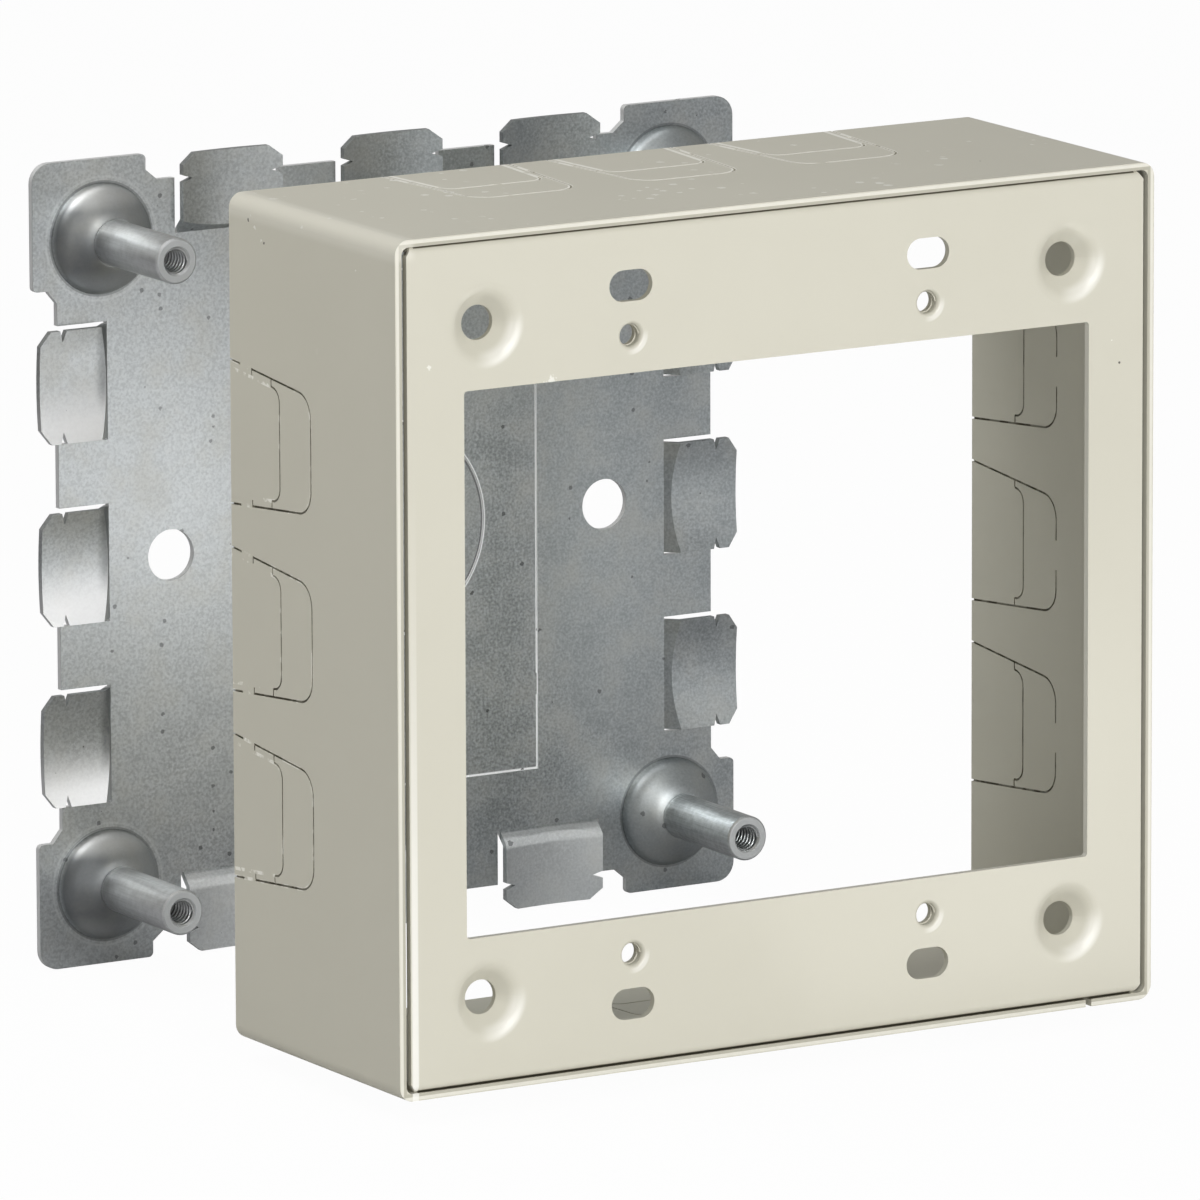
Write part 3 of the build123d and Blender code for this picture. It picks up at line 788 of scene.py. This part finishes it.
# %% Galvanised material
def make_galvanised():
    """Galvanised sheet: fine mottle, painted shade and highlights on the domes, painted highlights
    on the sheared edges, and dark pits.
    """
    material, tree, shader, place = new_material("galvanised_sheet_finish")
    x, y, z = in_millimetres(tree, place)
    fine = grain(tree, place, 0.36, 3.0)
    broad = grain(tree, place, 7.0, 4.0)
    from_post = length(
        tree,
        from_middle(tree, from_middle(tree, x), POST_AXIS),
        from_middle(tree, from_middle(tree, z), POST_AXIS),
    )
    from_centre = length(tree, x, z)
    dome = ramp(tree, from_post, DOME_RADIUS + 0.3, DOME_RADIUS)
    mottle = math_node(tree, "MULTIPLY_ADD", broad, 0.3, times(tree, fine, 0.7))
    even = math_node(tree, "MULTIPLY_ADD", mottle, 0.45, 0.27)
    calmed = add(tree, "ShaderNodeMix")
    for index, value in ((0, dome), (2, mottle), (3, even)):
        join(tree, value, calmed.inputs[index])
    tone = ramp(tree, calmed.outputs[0], 0.3, 0.7)
    colour = blend_colours(tree, tone, (0.38, 0.412, 0.425, 1), (0.6, 0.638, 0.65, 1))

    # Painted light: the plate's left part is lightened.
    colour = paint(tree, colour, ramp(tree, x, 12.0, -34.0), (0.86, 0.875, 0.88), 0.38)
    crystals = times(
        tree,
        ramp(tree, grain(tree, place, 0.45, 3.0), 0.4, 0.66),
        ramp(tree, x, 5.0, -30.0),
        math_node(tree, "MULTIPLY_ADD", dome, -0.8, 1.0),
    )
    colour = paint(tree, colour, crystals, (0.33, 0.35, 0.36), 0.45)
    colour = paint_dome_shade_and_highlight(tree, x, z, dome, colour)
    colour = paint(tree, colour, ramp(tree, broad, 0.4, 0.75), (0.52, 0.51, 0.46), 0.35)
    # Painted highlights on the knockouts' lines and the sheet's cut edges.
    sheared_highlight = sheared_line_highlights(tree, x, y, z, from_centre)
    colour = paint(tree, colour, sheared_highlight, (0.93, 0.94, 0.94))
    colour = paint_foot_rings_and_halo_highlight(tree, x, from_post, colour)

    raised = times(tree, ramp(tree, y, -1.15, -1.4), ramp(tree, from_post, 9.0, 9.4))
    colour = paint_left_tab_light_and_shade(tree, x, z, raised, colour)
    # Painted highlight: the bottom tab is lightened.
    lit_low_tab = times(tree, raised, ramp(tree, z, -43.0, -44.0))
    colour = paint(tree, colour, lit_low_tab, (0.97, 0.98, 0.98), 0.35)
    # Painted highlight: the bottom tab's fold crest is made less metallic so that it reads pale.
    crest_highlight = times(tree, within(tree, z, -46.9, -46.1, 0.5), raised)
    # Painted shadow inside the round knockout's line.
    round_knockout_shadow = within(tree, from_centre, ROUND_KNOCKOUT - 0.5, ROUND_KNOCKOUT - 0.12, 0.05)
    colour = paint(tree, colour, round_knockout_shadow, (0.1, 0.105, 0.11), 0.8)
    pits = specks(tree, place, 2.6, 0.3, 0.2)
    colour = paint(tree, colour, pits, (0.16, 0.165, 0.17), 0.7)
    join(tree, colour, shader.inputs["Base Color"])

    rough = math_node(tree, "MULTIPLY_ADD", tone, 0.12, SMOOTHEST)
    for mask, duller in ((sheared_highlight, 0.3), (dome, 0.1), (lit_low_tab, 0.15)):
        rough = math_node(tree, "MULTIPLY_ADD", mask, duller, rough)
    join(tree, rough, shader.inputs["Roughness"])
    join(tree, math_node(tree, "MULTIPLY_ADD", crest_highlight, -0.75, 1.0), shader.inputs["Metallic"])
    ripple(tree, shader, fine, 0.14)
    return material


galvanised = make_galvanised()
nodes["base_plate"].material_slots[0].material = galvanised
print("galvanised nodes:", len(galvanised.node_tree.nodes))

# %% [markdown]
# ## The posts
#
# The posts are turned from bar and zinc-plated. Drawn bar leaves streaks along the shank, and
# the turned end is duller. The two left posts are lightened with painted light.

# %% Post material
post_names = sorted(name for name in nodes if name.startswith("post_"))


def make_post_finish():
    """Zinc plate with lengthwise streaks on the shank and a duller turned end."""
    material, tree, shader, place = new_material("zinc_plated_post_finish")
    x, y, _ = in_millimetres(tree, place)
    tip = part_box(post_names[0])[0].y / MM
    end = ramp(tree, y, tip + 0.14, tip + 0.05)
    stretch = add(tree, "ShaderNodeMapping", {"Scale": (1.0, 0.03, 1.0)})
    join(tree, place, stretch.inputs["Vector"])
    streak = grain(tree, stretch.outputs["Vector"], 0.25, 3.0)
    spot = grain(tree, place, 0.9, 3.0)
    mixed = math_node(tree, "MULTIPLY_ADD", spot, 0.5, times(tree, streak, 0.5))
    worn = ramp(tree, mixed, 0.35, 0.65)
    colour = blend_colours(tree, worn, (0.55, 0.57, 0.57, 1), (0.76, 0.78, 0.79, 1))
    # Painted light: the two left posts are lightened.
    colour = paint(tree, colour, ramp(tree, x, *LEFT_PART), WHITE, 0.35)
    colour = paint(tree, colour, end, (0.66, 0.68, 0.69))
    join(tree, colour, shader.inputs["Base Color"])
    rough = math_node(tree, "MULTIPLY_ADD", worn, -0.07, 0.38)
    join(tree, either(tree, rough, times(tree, end, 0.5)), shader.inputs["Roughness"])
    join(tree, math_node(tree, "MULTIPLY_ADD", end, -0.6, 1.0), shader.inputs["Metallic"])
    ripple(tree, shader, streak, 0.3)
    return material


post_finish = make_post_finish()
for name in post_names:
    nodes[name].material_slots[0].material = post_finish
print("posts:", post_names)

# %% [markdown]
# ## The screw threads
#
# Each post is tapped for a number 8 screw and each small hole in the cover for a number 6, both
# with 32 threads to the inch. A thread is one ridge that winds round the bore, so Geometry
# Nodes suit it: a spiral carries a small four-sided section whose inner half stands out of the
# bore's wall, and one such ridge is put at every mouth. Two objects hold nothing but the
# mouths as loose points, and the same tree turns each of them into finished threads.

# %% Thread tree
def make_thread_tree():
    """Geometry nodes: a thread ridge at every point of the mesh, running into the wall (+Y)."""
    tree = bpy.data.node_groups.new("screw_thread_ridge", "GeometryNodeTree")
    face = tree.interface
    face.new_socket("Geometry", in_out="INPUT", socket_type="NodeSocketGeometry")
    for label, default in (
        ("Bore Radius", 1.7 * MM),
        ("Ridge Height", 0.2 * MM),
        ("Pitch", 0.79 * MM),
        ("Turns", 10.0),
    ):
        face.new_socket(label, in_out="INPUT", socket_type=FLOAT).default_value = default
    steps = face.new_socket("Steps per Turn", in_out="INPUT", socket_type="NodeSocketInt")
    steps.default_value = 24
    face.new_socket("Finish", in_out="INPUT", socket_type="NodeSocketMaterial")
    face.new_socket("Geometry", in_out="OUTPUT", socket_type="NodeSocketGeometry")
    entry = add(tree, "NodeGroupInput")
    leave = add(tree, "NodeGroupOutput")
    spiral = add(tree, "GeometryNodeCurveSpiral")
    join(tree, entry.outputs["Steps per Turn"], spiral.inputs["Resolution"])
    join(tree, entry.outputs["Turns"], spiral.inputs["Rotations"])
    join(tree, entry.outputs["Bore Radius"], spiral.inputs["Start Radius"])
    join(tree, entry.outputs["Bore Radius"], spiral.inputs["End Radius"])
    height = math_node(tree, "MULTIPLY", entry.outputs["Pitch"], entry.outputs["Turns"])
    join(tree, height, spiral.inputs["Height"])
    upright = add(tree, "GeometryNodeSetCurveNormal", mode="Z_UP")
    join(tree, spiral.outputs["Curve"], upright.inputs["Curve"])
    section = add(tree, "GeometryNodeCurvePrimitiveCircle", {"Resolution": 4})
    join(tree, entry.outputs["Ridge Height"], section.inputs["Radius"])
    ridge = add(tree, "GeometryNodeCurveToMesh", {"Fill Caps": True})
    join(tree, upright.outputs["Curve"], ridge.inputs["Curve"])
    join(tree, section.outputs["Curve"], ridge.inputs["Profile Curve"])
    lay = add(tree, "GeometryNodeTransform", {"Rotation": (math.radians(-90), 0, 0)})
    join(tree, ridge.outputs["Mesh"], lay.inputs["Geometry"])
    spread = add(tree, "GeometryNodeInstanceOnPoints")
    join(tree, entry.outputs["Geometry"], spread.inputs["Points"])
    join(tree, lay.outputs["Geometry"], spread.inputs["Instance"])
    real = add(tree, "GeometryNodeRealizeInstances")
    join(tree, spread.outputs["Instances"], real.inputs["Geometry"])
    finish = add(tree, "GeometryNodeSetMaterial")
    join(tree, real.outputs["Geometry"], finish.inputs["Geometry"])
    join(tree, entry.outputs["Finish"], finish.inputs["Material"])
    join(tree, finish.outputs["Geometry"], leave.inputs["Geometry"])
    return tree


thread_tree = make_thread_tree()


def threads_at(name, mouths, values):
    """A plain mesh piece of threads, one at each mouth, that rides on the object."""
    mesh = bpy.data.meshes.new(name + "_mouths")
    mesh.from_pydata(mouths, [], [])
    piece = bpy.data.objects.new(name, mesh)
    bpy.context.scene.collection.objects.link(piece)
    modifier = piece.modifiers.new("threads", "NODES")
    modifier.node_group = thread_tree
    for item in thread_tree.interface.items_tree:
        if item.in_out == "INPUT" and item.name in values:
            modifier[item.identifier] = values[item.name]
    bpy.context.view_layer.update()
    seen = piece.evaluated_get(bpy.context.evaluated_depsgraph_get())
    solid = bpy.data.meshes.new_from_object(seen)
    piece.modifiers.clear()
    piece.data = solid
    solid.name = name
    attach(piece, "root")
    print(name, len(solid.polygons), "faces at", len(mouths), "mouths")
    return piece


# %% [markdown]
# The mouths of the bores are read from the pieces' own boxes, so the threads stay in their
# bores if a piece moves. A chamfer leads into each post's bore.

# %% Threads in the posts and in the cover
POST_BORE_RADIUS = 1.73 * MM
POST_BORE_LENGTH = 13.4 * MM
DEVICE_HOLE_RADIUS = 1.5 * MM
DEVICE_HOLE_LENGTH = 1.6 * MM
THREAD_PITCH = 25.4 / 32 * MM
CHAMFER = 0.35 * MM
DEVICE_LEAD = 0.7 * MM
DEVICE_PITCH_X = 46.04 * MM
DEVICE_PITCH_Z = 83.34 * MM


def post_mouths():
    """The middle of each post's open end, read from the post's own box."""
    points = []
    for post in post_names:
        low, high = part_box(post)
        points.append(((low.x + high.x) / 2, low.y + CHAMFER, (low.z + high.z) / 2))
    return points


def device_mouths():
    """The four device holes, placed from the middle of the cover's front."""
    low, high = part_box("front_plate")
    middle = (low + high) / 2
    return [
        (middle.x + x * DEVICE_PITCH_X / 2, low.y + DEVICE_LEAD, middle.z + z * DEVICE_PITCH_Z / 2)
        for x in (-1, 1)
        for z in (-1, 1)
    ]


threads_at(
    "post_threads",
    post_mouths(),
    {
        "Bore Radius": POST_BORE_RADIUS,
        "Ridge Height": 0.2 * MM,
        "Pitch": THREAD_PITCH,
        "Turns": POST_BORE_LENGTH / THREAD_PITCH - 0.5,
        "Finish": post_finish,
    },
)
threads_at(
    "device_hole_threads",
    device_mouths(),
    {
        "Bore Radius": DEVICE_HOLE_RADIUS,
        "Ridge Height": 0.16 * MM,
        "Pitch": THREAD_PITCH,
        "Turns": DEVICE_HOLE_LENGTH / THREAD_PITCH - 0.3,
        "Finish": front_enamel,
    },
)

# %% [markdown]
# ## The floor
#
# A wide white table just below the object. The camera sees it almost as pure white, so that
# only the object's shadow shows, and metal sees it a little darker than it is.

# %% Floor
FLOOR_REACH = 6.0
FLOOR_GAP = 0.2 * MM
FLOOR_GLOW_SHARE = 0.97


def flat_sheet(name, corners):
    """A new object that is one flat sheet through four corners."""
    mesh = bpy.data.meshes.new(name)
    mesh.from_pydata(corners, [], [(0, 1, 2, 3)])
    sheet = bpy.data.objects.new(name, mesh)
    bpy.context.scene.collection.objects.link(sheet)
    return sheet


def bare_material(name):
    """A material whose node tree holds nothing but its output."""
    material = bpy.data.materials.new(name)
    material.use_nodes = True
    tree = material.node_tree
    tree.nodes.clear()
    return material, tree, add(tree, "ShaderNodeOutputMaterial")


def make_floor():
    """The white table under the object."""
    size, level = FLOOR_REACH, cad_low.z - FLOOR_GAP
    floor = flat_sheet(
        "floor",
        [(-size, -size, level), (size, -size, level), (size, size, level), (-size, size, level)],
    )
    material, tree, out = bare_material("white_table")
    diffuse = add(tree, "ShaderNodeBsdfDiffuse")
    glow = add(tree, "ShaderNodeEmission", {"Color": (1, 1, 1, 1), "Strength": 1.0})
    path = add(tree, "ShaderNodeLightPath")
    shade = blend_colours(
        tree, path.outputs["Is Glossy Ray"], (0.8, 0.8, 0.8, 1), (0.4, 0.4, 0.41, 1)
    )
    join(tree, shade, diffuse.inputs["Color"])
    mix = add(tree, "ShaderNodeMixShader")
    join(tree, times(tree, path.outputs["Is Camera Ray"], FLOOR_GLOW_SHARE), mix.inputs[0])
    join(tree, diffuse.outputs[0], mix.inputs[1])
    join(tree, glow.outputs[0], mix.inputs[2])
    join(tree, mix.outputs[0], out.inputs["Surface"])
    floor.data.materials.append(material)


make_floor()
print("floor at", round(cad_low.z - FLOOR_GAP, 4))

# %% [markdown]
# ## The room
#
# The room gives a dim, faintly warm light from everywhere. The camera sees it as white.

# %% Room
def make_world():
    """A dim warm room that the camera sees as white."""
    world = bpy.data.worlds.new("studio")
    bpy.context.scene.world = world
    world.use_nodes = True
    tree = world.node_tree
    tree.nodes.clear()
    path = add(tree, "ShaderNodeLightPath")
    room = add(tree, "ShaderNodeBackground", {"Color": (1, 0.99, 0.955, 1), "Strength": 0.29})
    white = add(tree, "ShaderNodeBackground", {"Color": (1, 1, 1, 1), "Strength": 1.0})
    mix = add(tree, "ShaderNodeMixShader")
    out = add(tree, "ShaderNodeOutputWorld")
    join(tree, path.outputs["Is Camera Ray"], mix.inputs[0])
    join(tree, room.outputs[0], mix.inputs[1])
    join(tree, white.outputs[0], mix.inputs[2])
    join(tree, mix.outputs[0], out.inputs["Surface"])
    return world


print("world:", make_world().name)

# %% [markdown]
# ## A card for the metal
#
# Bare metal shows what stands round it. A photographer leans a white card at the front right,
# so that the plate's left part reflects it. Only reflections see the card here, so it lights
# nothing else and casts no shadow. It is brightest near the table.

# %% Card for the metal
CARD_CORNERS = (
    (0.02, -0.13, cad_low.z),
    (0.105, -0.13, cad_low.z),
    (0.2, -0.34, 0.13),
    (0.02, -0.34, 0.13),
)
CARD_STRENGTH = 1.8


def make_card():
    """A white card leaning at the front right; it only shows where metal reflects it."""
    card = flat_sheet("white_card", CARD_CORNERS)
    material, tree, out = bare_material("white_card")
    glow = add(tree, "ShaderNodeEmission", {"Color": (1, 1, 1, 1)})
    place = add(tree, "ShaderNodeTexCoord")
    parts = add(tree, "ShaderNodeSeparateXYZ")
    join(tree, place.outputs["Object"], parts.inputs[0])
    fade = math_node(tree, "MULTIPLY_ADD", ramp(tree, parts.outputs[2], 0.0, -0.028), 0.75, 0.25)
    join(tree, times(tree, fade, CARD_STRENGTH), glow.inputs["Strength"])
    join(tree, glow.outputs[0], out.inputs["Surface"])
    card.data.materials.append(material)
    card.visible_camera = False
    card.visible_diffuse = False
    card.visible_transmission = False
    card.visible_volume_scatter = False
    card.visible_shadow = False


make_card()
print("card strength:", CARD_STRENGTH)

# %% [markdown]
# ## The lamps
#
# Five soft square lamps. The large front lamp gives most of the light, a small high one draws
# the edges, and the others lift the left side, the plate behind the cover and the top.

# %% Lamps
# Each row is a lamp's name, its place and its side in metres, and its power in watts.
LAMPS = (
    ("front_lamp", (0.0, -1.6, 0.15), 0.8, 13.0),
    ("high_lamp", (-0.2, -1.35, 0.62), 0.28, 4.2),
    ("low_lamp", (-0.9, -1.3, 0.1), 0.5, 1.2),
    ("left_lamp", (-0.25, -0.02, 0.36), 0.2, 0.55),
    ("top_lamp", (0.0, 0.0, 1.6), 0.9, 3.0),
)
LAMP_AIM = Vector((0, -0.05, 0))


def soft_lamp(name, place, side, watts):
    """A square lamp at a place, turned towards the object."""
    data = bpy.data.lights.new(name, "AREA")
    data.shape = "SQUARE"
    data.size = side
    data.energy = watts
    lamp = bpy.data.objects.new(name, data)
    lamp.location = place
    lamp.rotation_euler = (LAMP_AIM - Vector(place)).to_track_quat("-Z", "Y").to_euler()
    bpy.context.scene.collection.objects.link(lamp)


for row in LAMPS:
    soft_lamp(*row)
print("lamps:", ", ".join(row[0] for row in LAMPS))
